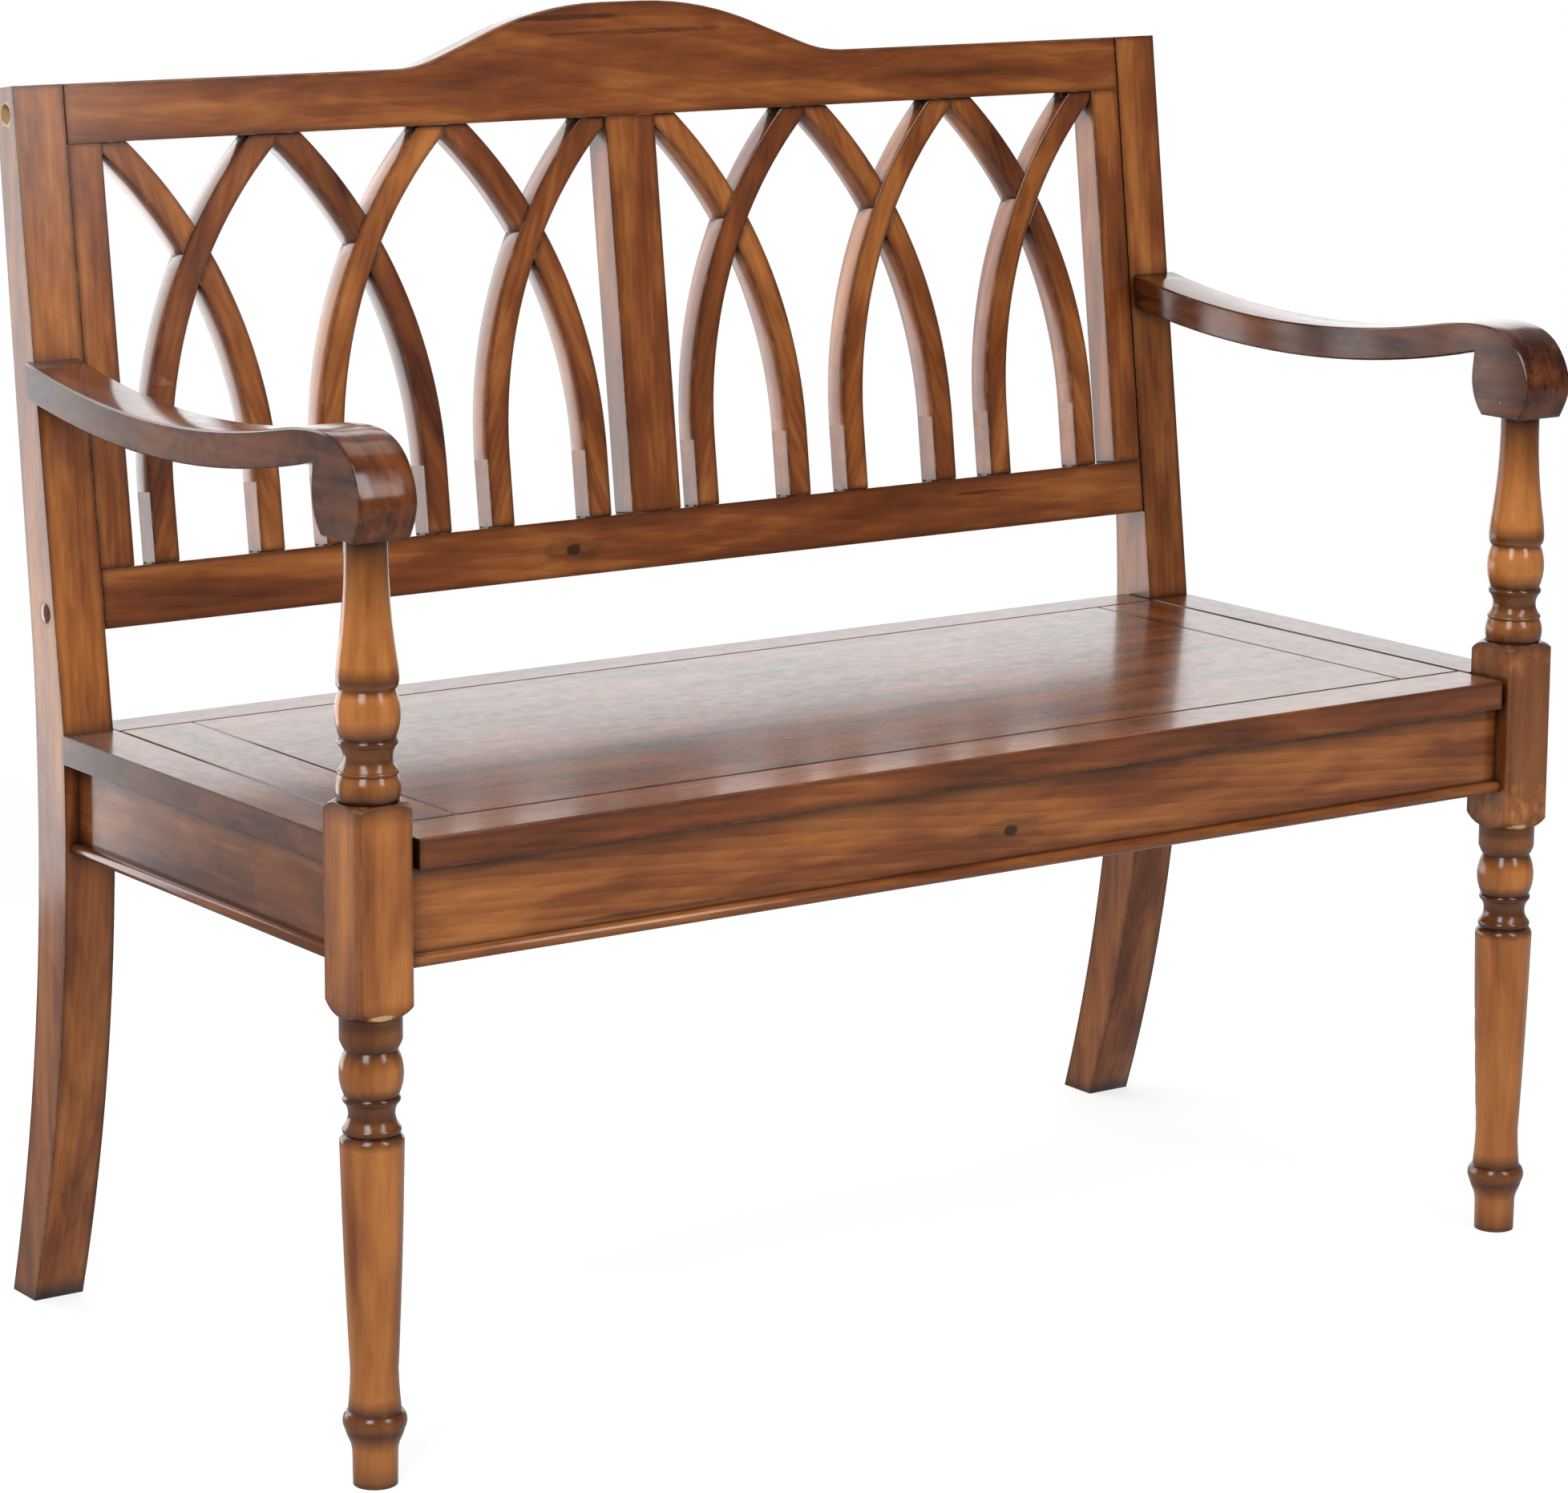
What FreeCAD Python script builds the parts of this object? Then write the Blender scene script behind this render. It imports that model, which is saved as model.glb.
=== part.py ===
# Deacons bench: turned front posts, sabre rear posts, low scrolled arms, a framed flat seat
# and a raked back with a humped crest rail over a lattice of curved, half-lapped slats.
# Millimetres. +Z is up and -Y is the front. Left and right are as seen from the front: +X is right.
# The origin is on the floor, under the middle of the bench's outer box.

import FreeCAD, Part
import math
import os

V = FreeCAD.Vector

# Overall layout
post_axis_x = 534.0        # from the middle of the bench to a front post's axis
seat_top = 465.0
post_front_y = 427.0       # vertical part of a rear post's front face
back_rake = 7.24           # degrees that the back leans
arm_bottom = 675.0         # under the arm's nose, where the front post's neck ends

# Front posts
block_side = 46.0
block_below_seat = 114.0   # square block, from the seat's top surface down
block_above_seat = 19.0
block_chamfer = 2.8
shoulder_drop = 10.7       # height over which the square's corners are turned away below
shoulder_rise = 8.5        # and above
shoulder_mid_radius = 29.0 # where each shoulder's curve is fullest
shoulder_drop_mid = 5.6    # how far below the block that is
shoulder_rise_mid = 5.3    # and above it
cup_radius = 20.6
cup_depth = 1.6            # how far the turning starts below the top of the upper shoulder
neck_radius = 15.4
neck_long = 62.0
pommel_radius = 9.5        # round tenon that enters the arm
pommel_length = 24.0

# Turned elements of a front post, upwards from the floor: height, radius at the element's top
# and radius half way up, which is left out of a straight taper.
foot_radius = 15.9
foot_turning = [
    (24.0, 16.2),          # plain foot
    (9.2, 18.4, 16.8),     # flare
    (8.6, 21.5, 20.2),     # underside of the ring
    (11.2, 20.8, 22.8),    # ring
    (1.5, 19.0),           # fillet
    (30.0, 17.1, 17.7),    # ankle
]
leg_top_radius = 22.9      # the long leg swells up to here
leg_mid_radius = 20.6
knee_turning = [
    (5.2, 19.6, 22.1),     # rounded shoulder of the leg
    (5.8, 19.6, 20.8),     # ring
    (16.4, 18.9, 16.5),    # cove
    (5.4, 19.2, 20.5),     # thin ring
    (32.8, 18.8, 22.8),    # ball
]
knee_high = 89.7           # from the top of the leg to the top of the collar
collar_radius = 22.3
collar_mid_radius = 20.9
collar_high = 16.6         # plain collar under the lower shoulder
baluster_turning = [
    (20.2, 20.4, 22.9),    # ball
    (3.4, 20.4, 21.4),     # sharp ring
    (16.7, 19.7, 17.2),    # cove
    (5.4, 19.5, 21.1),     # thin ring
    (33.8, 19.6, 22.9),    # ball
    (2.8, 21.6),           # undercut foot of the vase
    (6.5, 22.2, 22.1),     # lip
    (20.2, 19.8, 21.3),    # belly of the vase
]
vase_mid_radius = 16.6

# Rear posts
rear_post_inset = 26.5     # its inner face, measured inwards from the front posts' axis
rear_post_width = 42.0
rear_post_depth = 45.0     # at the seat
rear_post_top_depth = 27.5
sabre_start = 420.0        # height at which the leg starts to curve back
sabre_front_radius = 1280.0
sabre_rear_radius = 1440.0
kink_height = 467.0        # height at which the front face starts to lean
back_bend_length = 50.0    # half the length of the arc that bends the rear face
back_bend_straight = 30.0  # upright stretch between the sabre and that arc
post_top_round = 7.0

# Back frame, measured along its own slope from the lower edge of the bottom rail
frame_thick = 27.0
frame_start_z = 541.1
bottom_rail_high = 45.5
crest_low = 367.0
crest_end_high = 45.3
hump_high = 46.5           # rise of the crest's middle over its ends
hump_half = 217.0
hump_flat_half = 20.0
hump_radius = 300.0
hump_turn = 138.0          # where the round of the hump gives way to the hollow
hollow_start = 178.0
hollow_radius = 110.0
frame_ease = 1.5           # eased arris where the frame meets the posts
crest_ease = 1.5           # eased arrises along the crest's top
end_stile_wide = 29.5
centre_stile_wide = 47.0
stile_tenon = 12.0
stile_tenon_thick = 11.0
stile_shoulder = 5.0

# Lattice
bays_per_half = 3
slat_wide = 21.0
slat_thick = 22.0
slat_set_back = 2.5
slat_foot = 29.5           # centre line of a slat's foot from the edge of its bay
slat_spring = 100.0        # height in the frame at which a slat starts to curve
slat_radius = 368.5
slat_tenon = 8.0
slat_tenon_thick = 10.0

# Arms
arm_wide = 46.0
arm_ease = 1.5             # eased arrises round both sides of an arm
arm_top_radius = 1012.0
arm_under_radius = 1046.0
arm_low_y = 262.0          # where the arm dips lowest
arm_low_top = 725.5
arm_thick = 26.7           # at that point
arm_spare = 80.0           # length of the sawn blank that the cut along the back takes off
nose_front = 32.0          # how far the nose bulges in front of the post's axis
nose_bulge_up = 26.0       # height above its flat foot where it does
nose_tuck = 30.0           # degrees that its front leans back where it meets the foot
nose_heel = 22.0           # half the length of the nose's flat foot
nose_back = 34.0
nose_top = 747.0
nose_crown_y = 30.0        # where the nose is highest
nose_shoulder_y = -12.0    # a point on its rounded shoulder
nose_shoulder_drop = 10.0
heel_high = 34.0           # height of the heel's curve behind the flat foot
heel_swell = 1.8           # how far that curve stays short of the nose's back half way up
heel_lean = 1.5            # of the straight rise from there to the underside
dip_front_y = 82.0         # where the dip's arc meets the nose's curve

# Seat
seat_thick = 22.5
seat_end_gap = 2.1         # between the framed seat's end and the rear post
seat_front_set_back = 2.7  # behind the front face of the posts' blocks
seat_in_post = 31.4        # how far the seat runs past the front face of the rear posts
front_board_wide = 52.6
rear_board_wide = 38.8
end_board_wide = 61.9
groove_leg = 1.4           # leg of the chamfers that form each V groove
seat_edge_ease = 1.5       # eased front arris
strip_proud = 0.5          # of the side strips over the rear posts' outer faces
seam_left = 0.4
seam_right = 2.2
tongue_long = 8.0
tongue_end = 6.0           # from a tongue's end to the edge of its board
tongue_thick = 7.0

# Apron
apron_high = 70.5
apron_thick = 20.0
apron_set_back = 12.0
apron_tenon = 14.0
apron_tenon_thick = 9.0
apron_shoulder = 8.0
bead_high = 9.5
bead_out = 8.0
rear_apron_in_post = 7.0   # behind the front face of the rear posts

# Under the seat
cleat_wide = 30.0
cleat_high = 22.0
cross_rail_wide = 44.0
corner_block_leg = 48.0
corner_block_face = 14.0
corner_block_high = 55.0
screw_from_end = 40.0      # first and last screw, from the ends of a cleat
screw_offset = 22.0        # between a screw into the seat and one into the apron

# Fixings
bolt_radius = 3.0
bolt_length = 75.0
bolt_head_radius = 6.0
bolt_head_high = 4.5
socket_radius = 2.0
socket_deep = 2.5
plug_radius = 7.5
plug_long = 8.0
plug_dome = 1.8
counterbore_deep = 14.0
crest_bolt_up = 25.0       # from the crest's lower edge
rail_bolt_up = 16.0        # from the bottom rail's lower edge
barrel_radius = 5.0
barrel_long = 18.0
barrel_recess = 2.0
barrel_from_post = 37.5
screw_radius = 2.0
screw_head_radius = 4.2
screw_head_high = 2.6
seat_screw_long = 36.0
cleat_screw_long = 42.0
arm_screw_radius = 2.5
arm_screw_head_radius = 5.0
arm_screw_head_high = 3.2
arm_screw_long = 72.0
arm_screw_up = 13.5        # above the arm's underside at the rear post
arm_screw_sunk = 1.0
arm_pin_radius = 1.3
arm_pin_up = 12.0
arm_pin_past_axis = 7.0
hanger_radius = 3.0
hanger_in_post = 12.0
hanger_spare = 4.0
washer_radius = 8.0
washer_thick = 1.5
nut_across_flats = 10.0
nut_high = 5.0

fit = 0.2                  # clearance of a tenon or tongue in its slot
hole_fit = 0.15            # radial clearance of a fixing in its hole
over = 5.0                 # how far a cutting tool runs past a surface
far = 1500.0               # reach of a tool that cuts off all beyond a plane
hole_spare = 1.0           # depth of a blind hole past the end of what it holds
corner_spare = 0.5         # of the turning outside the square's corners
tiny = 0.01                # how near an edge lies to a plane to count as in it

# Sizes that follow from the ones above
rake = math.radians(back_rake)
block_half = block_side / 2.0
block_low = seat_top - block_below_seat
block_high = seat_top + block_above_seat
block_inner = post_axis_x - block_half
rear_post_inner = post_axis_x - rear_post_inset
rear_post_outer = rear_post_inner + rear_post_width
post_rear_y = post_front_y + rear_post_depth
back_bend_height = sabre_start + back_bend_straight + back_bend_length
frame_y = post_front_y + (frame_start_z - kink_height) * math.tan(rake)
crest_top = crest_low + crest_end_high
frame_half = rear_post_inner
opening_half = frame_half - end_stile_wide
bay = (opening_half - centre_stile_wide / 2.0) / bays_per_half
lattice_low = bottom_rail_high
slat_front = slat_set_back
slat_mid = slat_set_back + slat_thick / 2.0
slat_back = slat_set_back + slat_thick
arm_inner = post_axis_x - arm_wide / 2.0
arm_low_under = arm_low_top - arm_thick
seat_under = seat_top - seat_thick
seat_half = rear_post_inner - seat_end_gap
seat_front_y = seat_front_set_back - block_half
seat_front_groove_y = seat_front_y + front_board_wide
seat_rear_y = post_front_y + seat_in_post
seat_rear_groove_y = seat_rear_y - rear_board_wide
seat_end_groove_x = seat_half - end_board_wide
strip_outer = rear_post_outer + strip_proud
rear_apron_y = post_front_y + rear_apron_in_post
apron_low = seat_under - apron_high
front_apron_y = seat_front_y + apron_set_back
side_apron_x = strip_outer - apron_set_back
side_apron_inner = side_apron_x - apron_thick
cleat_low = seat_under - cleat_high
bolt_n = frame_thick / 2.0

parts = {}


def box(x0, x1, y0, y1, z0, z1):
    """A box between two corners."""
    return Part.makeBox(x1 - x0, y1 - y0, z1 - z0, V(x0, y0, z0))


def rod(radius, start, direction, length):
    """A round bar from a point along a direction."""
    return Part.makeCylinder(radius, length, start, direction)


def mirrored(shape):
    """The same piece for the bench's other side."""
    return shape.mirror(V(0, 0, 0), V(1, 0, 0))


def group(shapes):
    """Separate solids that share a node."""
    solids = []
    for shape in shapes:
        solids.extend(shape.Solids)
    return Part.makeCompound(solids)


def eased(shape, size, chosen):
    """Takes the arris off the edges whose middle points are chosen."""
    edges = []
    for edge in shape.Edges:
        middle = edge.valueAt((edge.FirstParameter + edge.LastParameter) / 2.0)
        if chosen(middle):
            edges.append(edge)
    return shape.makeChamfer(size, edges)


class Outline:
    """Lines and arcs laid end to end in one plane, closed to a face."""

    def __init__(self, place, a, b):
        self.place = place
        self.start = (a, b)
        self.at = (a, b)
        self.edges = []

    def line(self, a, b):
        edge = Part.makeLine(self.place(*self.at), self.place(a, b))
        self.edges.append(edge)
        self.at = (a, b)

    def arc(self, mid_a, mid_b, a, b):
        curve = Part.Arc(self.place(*self.at), self.place(mid_a, mid_b), self.place(a, b))
        self.edges.append(curve.toShape())
        self.at = (a, b)

    def curve(self, points, leaving, arriving):
        """A smooth curve through points, with its direction at both ends."""
        origin = self.place(0, 0)
        through = [self.place(*self.at)] + [self.place(*p) for p in points]
        spline = Part.BSplineCurve()
        spline.interpolate(Points=through, InitialTangent=self.place(*leaving) - origin,
                           FinalTangent=self.place(*arriving) - origin)
        self.edges.append(spline.toShape())
        self.at = points[-1]

    def turn(self, rise, end_radius, mid_radius=None):
        """One element of a turning: a bead or hollow with a middle radius, else a taper."""
        radius, height = self.at
        if mid_radius is None:
            self.line(end_radius, height + rise)
        else:
            self.arc(mid_radius, height + rise / 2.0, end_radius, height + rise)

    def face(self):
        if self.at != self.start:
            self.line(*self.start)
        return Part.Face(Part.Wire(self.edges))


def in_xz(a, b):
    return V(a, 0, b)


def in_yz(a, b):
    return V(0, a, b)


def in_xy(a, b):
    return V(a, b, 0)


def leaned(shape):
    """Moves a piece drawn upright in the back frame's own plane onto the raked back."""
    placed = shape.copy()
    placed.rotate(V(0, 0, 0), V(1, 0, 0), -back_rake)
    placed.translate(V(0, frame_y, frame_start_z))
    return placed


def countersunk(radius, head_radius, head_high, length, grow=0.0):
    """A wood screw standing on its head at the origin and pointing up."""
    head = Part.makeCone(head_radius + grow, radius + grow, head_high)
    shank = rod(radius + grow, V(0, 0, 0), V(0, 0, 1), length + grow)
    return head.fuse(shank).removeSplitter()


def upright(shape, x, y, z):
    placed = shape.copy()
    placed.translate(V(x, y, z))
    return placed


# Front posts: a turning whose envelope is kept inside a square with two chamfered arrises.
# The block's corners are turned away at both ends, which leaves an arch on each face.
corner_radius = block_half * math.sqrt(2.0) + corner_spare

turning = Outline(in_xz, 0, 0)
turning.line(foot_radius, 0)
for element in foot_turning:
    turning.turn(*element)
knee_start = block_low - shoulder_drop - knee_high
turning.turn(knee_start - turning.at[1], leg_top_radius, leg_mid_radius)
for element in knee_turning:
    turning.turn(*element)
collar_start = block_low - shoulder_drop - collar_high
turning.turn(collar_start - turning.at[1], collar_radius, collar_mid_radius)
turning.line(collar_radius, block_low - shoulder_drop)
turning.arc(shoulder_mid_radius, block_low - shoulder_drop_mid, corner_radius, block_low)
turning.line(corner_radius, block_high)
turning.arc(shoulder_mid_radius, block_high + shoulder_rise_mid, block_half, block_high + shoulder_rise)
turning.line(cup_radius, block_high + shoulder_rise - cup_depth)
for element in baluster_turning:
    turning.turn(*element)
turning.turn(neck_long, neck_radius, vase_mid_radius)
turning.line(neck_radius, arm_bottom)
turning.line(pommel_radius, arm_bottom)
turning.line(pommel_radius, arm_bottom + pommel_length)
turning.line(0, arm_bottom + pommel_length)
post_turned = turning.face().revolve(V(0, 0, 0), V(0, 0, 1), 360)

square = Outline(in_xy, -block_half, block_half)
square.line(-block_half, block_chamfer - block_half)
square.line(block_chamfer - block_half, -block_half)
square.line(block_half - block_chamfer, -block_half)
square.line(block_half, block_chamfer - block_half)
square.line(block_half, block_half)
post_square = square.face().extrude(V(0, 0, arm_bottom + pommel_length + over))
front_post = upright(post_turned.common(post_square), post_axis_x, 0, 0)

# Rear posts: sawn from board, a sabre leg below the seat and a tapering raked post above it.
# The front face stays flush with the face of the back frame.
top_front = V(0, frame_y + crest_top * math.sin(rake), frame_start_z + crest_top * math.cos(rake))
top_back = top_front + V(0, math.cos(rake), -math.sin(rake)) * rear_post_top_depth
bend = V(0, post_rear_y, back_bend_height)
up_back = (top_back - bend).normalize()
bend_low = bend - V(0, 0, back_bend_length)
bend_high = bend + up_back * back_bend_length
bend_mid = (bend + (bend_low + bend_high) * 0.5) * 0.5
round_low = top_back - up_back * post_top_round
round_in = top_back + (top_front - top_back).normalize() * post_top_round
to_chord = 2.0 - math.sqrt(2.0)   # share of the way from a square corner to its quarter round's chord
round_mid = top_back * (1.0 - to_chord) + (round_low + round_in) * (to_chord / 2.0)


def sabre_y(start_y, radius, z):
    """Where a leg's face has curved to at a height below the start of the sabre."""
    return start_y + radius - math.sqrt(radius ** 2 - (sabre_start - z) ** 2)


half_sabre = sabre_start / 2.0
post = Outline(in_yz, sabre_y(post_front_y, sabre_front_radius, 0), 0)
post.arc(sabre_y(post_front_y, sabre_front_radius, half_sabre), half_sabre, post_front_y, sabre_start)
post.line(post_front_y, kink_height)
post.line(top_front.y, top_front.z)
post.line(round_in.y, round_in.z)
post.arc(round_mid.y, round_mid.z, round_low.y, round_low.z)
post.line(bend_high.y, bend_high.z)
post.arc(bend_mid.y, bend_mid.z, bend_low.y, bend_low.z)
post.line(post_rear_y, sabre_start)
post.arc(sabre_y(post_rear_y, sabre_rear_radius, half_sabre), half_sabre,
         sabre_y(post_rear_y, sabre_rear_radius, 0), 0)
rear_post = upright(post.face().extrude(V(rear_post_width, 0, 0)), rear_post_inner, 0, 0)
rear_post_blank = rear_post.copy()

# Crest rail: level ends that rise through a hollow to a flat-topped hump.
crest_peak = crest_top + hump_high
hump_centre = crest_peak - hump_radius


def hump_s(x):
    """Height of the hump's round part at a distance from the middle."""
    return hump_centre + math.sqrt(hump_radius ** 2 - (x - hump_flat_half) ** 2)


hollow_centre = crest_top + hollow_radius


def hollow_s(x):
    """Height of the hollow at the foot of the hump."""
    return hollow_centre - math.sqrt(hollow_radius ** 2 - (hump_half - x) ** 2)


hump_between = (hump_flat_half + hump_turn) / 2.0
hollow_between = (hollow_start + hump_half) / 2.0
crest = Outline(in_xz, -frame_half, crest_low)
crest.line(-frame_half, crest_top)
crest.line(-hump_half, crest_top)
crest.arc(-hollow_between, hollow_s(hollow_between), -hollow_start, hollow_s(hollow_start))
crest.line(-hump_turn, hump_s(hump_turn))
crest.arc(-hump_between, hump_s(hump_between), -hump_flat_half, crest_peak)
crest.line(hump_flat_half, crest_peak)
crest.arc(hump_between, hump_s(hump_between), hump_turn, hump_s(hump_turn))
crest.line(hollow_start, hollow_s(hollow_start))
crest.arc(hollow_between, hollow_s(hollow_between), hump_half, crest_top)
crest.line(frame_half, crest_top)
crest.line(frame_half, crest_low)
crest_rail = crest.face().extrude(V(0, frame_thick, 0))
crest_rail = eased(crest_rail, crest_ease, lambda at: at.z > crest_low + over and abs(at.x) < frame_half
                   and (at.y < tiny or at.y > frame_thick - tiny))

bottom_rail = box(-frame_half, frame_half, 0, frame_thick, 0, bottom_rail_high)


def arris_tool(s0, s1):
    """Eases the front arris of the frame's right end where it meets a post."""
    tool = Outline(in_xy, frame_half - frame_ease, 0)
    tool.line(frame_half + over, -over - frame_ease)
    tool.line(frame_half + over, frame_ease + over)
    return upright(tool.face().extrude(V(0, 0, s1 - s0)), 0, 0, s0)


def frame_stile(x0, x1):
    """An upright between the bottom rail and the crest, with a stub tenon at each end."""
    body = box(x0, x1, 0, frame_thick, bottom_rail_high, crest_low)
    n0 = (frame_thick - stile_tenon_thick) / 2.0
    low = bottom_rail_high - stile_tenon
    high = crest_low + stile_tenon
    tenon = box(x0 + stile_shoulder, x1 - stile_shoulder, n0, n0 + stile_tenon_thick, low, high)
    slot = box(x0 + stile_shoulder - fit, x1 - stile_shoulder + fit, n0 - fit,
               n0 + stile_tenon_thick + fit, low - fit, high + fit)
    return body.fuse(tenon).removeSplitter(), slot


stile_right, stile_right_slot = frame_stile(opening_half, frame_half)
stile_centre, stile_centre_slot = frame_stile(-centre_stile_wide / 2.0, centre_stile_wide / 2.0)
end_ease = arris_tool(-over, crest_top + over)
stile_right = stile_right.cut(end_ease)
crest_rail = crest_rail.cut([end_ease, mirrored(end_ease)])
bottom_rail = bottom_rail.cut([end_ease, mirrored(end_ease)])
slots = [stile_right_slot, mirrored(stile_right_slot), stile_centre_slot]


def slat_blank(bay_edge, lean, grow=0.0):
    """A slat's outline between its tenons, straight at the foot and then an arc.

    lean is 1 where the foot stands near the bay's low-x edge, -1 where it is mirrored.
    """
    half = slat_wide / 2.0 + grow
    low = lattice_low - slat_tenon - grow
    high = crest_low + slat_tenon + grow
    centre = slat_foot + slat_radius

    def q(value):
        return bay_edge + value if lean > 0 else bay_edge + bay - value

    def reach(radius, s):
        return centre - math.sqrt(radius ** 2 - (s - slat_spring) ** 2)

    outer = slat_radius + half
    inner = slat_radius - half
    middle = (slat_spring + high) / 2.0
    edge = Outline(in_xz, q(slat_foot - half), low)
    edge.line(q(slat_foot - half), slat_spring)
    edge.arc(q(reach(outer, middle)), middle, q(reach(outer, high)), high)
    edge.line(q(reach(inner, high)), high)
    edge.arc(q(reach(inner, middle)), middle, q(slat_foot + half), slat_spring)
    edge.line(q(slat_foot + half), low)
    return edge.face().extrude(V(0, frame_thick, 0))


def lattice_slat(bay_edge, lean):
    """A slat with stub tenons, and the mortise tool for its two rails."""
    blank = slat_blank(bay_edge, lean)
    body = blank.common(box(bay_edge, bay_edge + bay, slat_front, slat_back, lattice_low, crest_low))
    n0 = slat_mid - slat_tenon_thick / 2.0
    n1 = slat_mid + slat_tenon_thick / 2.0
    foot = blank.common(box(bay_edge, bay_edge + bay, n0, n1, 0, lattice_low))
    head = blank.common(box(bay_edge, bay_edge + bay, n0, n1, crest_low, crest_top))
    grown = slat_blank(bay_edge, lean, fit)
    low_slot = grown.common(box(bay_edge, bay_edge + bay, n0 - fit, n1 + fit, 0, lattice_low))
    high_slot = grown.common(box(bay_edge, bay_edge + bay, n0 - fit, n1 + fit, crest_low, crest_top))
    return body.fuse([foot, head]).removeSplitter(), [low_slot, high_slot]


back_half_box = box(-frame_half, frame_half, slat_mid, frame_thick + over, 0, crest_top)
front_half_box = box(-frame_half, frame_half, -over, slat_mid, 0, crest_top)
bay_edges = [-opening_half + bay * i for i in range(bays_per_half)]
bay_edges += [centre_stile_wide / 2.0 + bay * i for i in range(bays_per_half)]
for number, bay_edge in enumerate(bay_edges, start=1):
    rising, rising_slots = lattice_slat(bay_edge, 1)
    falling, falling_slots = lattice_slat(bay_edge, -1)
    crossing = rising.common(falling)
    parts["lattice_slat_rising_%d" % number] = leaned(rising.cut(crossing.common(back_half_box)))
    parts["lattice_slat_falling_%d" % number] = leaned(falling.cut(crossing.common(front_half_box)))
    slots += rising_slots + falling_slots

crest_rail = crest_rail.cut(slots)
bottom_rail = bottom_rail.cut(slots)

# Bolts through the rear posts into the ends of the crest and the bottom rail.
# Each runs into a barrel nut, and its head is sunk under a domed button plug.
head_x = rear_post_outer - counterbore_deep
nut_x = rear_post_inner - barrel_from_post
plug_foot = rear_post_outer - plug_long
sphere_radius = (plug_radius ** 2 + plug_dome ** 2) / (2.0 * plug_dome)


def frame_bolt(s):
    """A socket-head bolt along X at a height in the back frame."""
    start = V(head_x + bolt_head_high, bolt_n, s)
    head = rod(bolt_head_radius, start, V(-1, 0, 0), bolt_head_high)
    shank = rod(bolt_radius, start, V(-1, 0, 0), bolt_head_high + bolt_length)
    socket = rod(socket_radius, start + V(over, 0, 0), V(-1, 0, 0), over + socket_deep)
    return head.fuse(shank).cut(socket).removeSplitter()


def bolt_hole(s):
    """Clearance for that bolt and its plug."""
    start = rear_post_outer + over
    wide = rod(plug_radius + hole_fit, V(start, bolt_n, s), V(-1, 0, 0), over + counterbore_deep)
    narrow = rod(bolt_radius + hole_fit, V(start, bolt_n, s), V(-1, 0, 0),
                 over + counterbore_deep + bolt_length + hole_spare)
    return wide.fuse(narrow)


def barrel_nut(s):
    nut = rod(barrel_radius, V(nut_x, frame_thick - barrel_recess, s), V(0, -1, 0), barrel_long)
    across = rod(bolt_radius + hole_fit, V(nut_x - barrel_radius - over, bolt_n, s), V(1, 0, 0),
                 2.0 * (barrel_radius + over))
    return nut.cut(across)


def barrel_hole(s):
    return rod(barrel_radius + hole_fit, V(nut_x, frame_thick + over, s), V(0, -1, 0),
               over + barrel_recess + barrel_long + hole_spare)


def button_plug(s):
    """A turned plug with a shallow dome."""
    shank = rod(plug_radius, V(plug_foot, bolt_n, s), V(1, 0, 0), plug_long)
    ball = Part.makeSphere(sphere_radius, V(rear_post_outer + plug_dome - sphere_radius, bolt_n, s))
    cap = ball.common(box(rear_post_outer, rear_post_outer + over, bolt_n - plug_radius - over,
                          bolt_n + plug_radius + over, s - plug_radius - over, s + plug_radius + over))
    return shank.fuse(cap)


bolt_heights = [rail_bolt_up, crest_low + crest_bolt_up]
bolts = []
nuts = []
plugs = []
for s in bolt_heights:
    bolt = leaned(frame_bolt(s))
    bolts += [bolt, mirrored(bolt)]
    nut = leaned(barrel_nut(s))
    nuts += [nut, mirrored(nut)]
    plug = leaned(button_plug(s))
    plugs.append(plug)
    if s == rail_bolt_up:
        plugs.append(mirrored(plug))
    hole = bolt_hole(s)
    through = [hole, mirrored(hole), barrel_hole(s), mirrored(barrel_hole(s))]
    crest_rail = crest_rail.cut(through)
    bottom_rail = bottom_rail.cut(through)
    rear_post = rear_post.cut(leaned(hole))
parts["frame_bolts"] = group(bolts)
parts["barrel_nuts"] = group(nuts)
parts["button_plugs"] = group(plugs)
parts["crest_rail"] = leaned(crest_rail)
parts["back_bottom_rail"] = leaned(bottom_rail)
parts["back_stile_right"] = leaned(stile_right)
parts["back_stile_left"] = leaned(mirrored(stile_right))
parts["back_centre_stile"] = leaned(stile_centre)

# Arms: sawn to a shallow dip with a scrolled nose that drops onto the front post.
behind_back = leaned(box(0, far, 0, far, -far, far))
arm_rear_y = frame_y + arm_spare


def dip(y, low, radius):
    """Height of a shallow dip at a distance from its lowest point."""
    return low + radius - math.sqrt(radius ** 2 - (y - arm_low_y) ** 2)


under_start = nose_back - heel_lean
dip_slope = (arm_low_y - dip_front_y) / math.sqrt(arm_top_radius ** 2 - (arm_low_y - dip_front_y) ** 2)
tuck = math.radians(nose_tuck)
arm = Outline(in_yz, arm_rear_y, dip(arm_rear_y, arm_low_top, arm_top_radius))
arm.arc(arm_low_y, arm_low_top, dip_front_y, dip(dip_front_y, arm_low_top, arm_top_radius))
arm.curve([(nose_crown_y, nose_top), (nose_shoulder_y, nose_top - nose_shoulder_drop),
           (-nose_front, arm_bottom + nose_bulge_up), (-nose_heel, arm_bottom)],
          (-1.0, dip_slope), (math.sin(tuck), -math.cos(tuck)))
arm.line(nose_heel, arm_bottom)
arm.arc(nose_back - heel_swell, arm_bottom + heel_high / 2.0, nose_back, arm_bottom + heel_high)
arm.line(under_start, dip(under_start, arm_low_under, arm_under_radius))
arm.arc(arm_low_y, arm_low_under, arm_rear_y, dip(arm_rear_y, arm_low_under, arm_under_radius))
arm_shape = arm.face().extrude(V(arm_wide, 0, 0))

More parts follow.
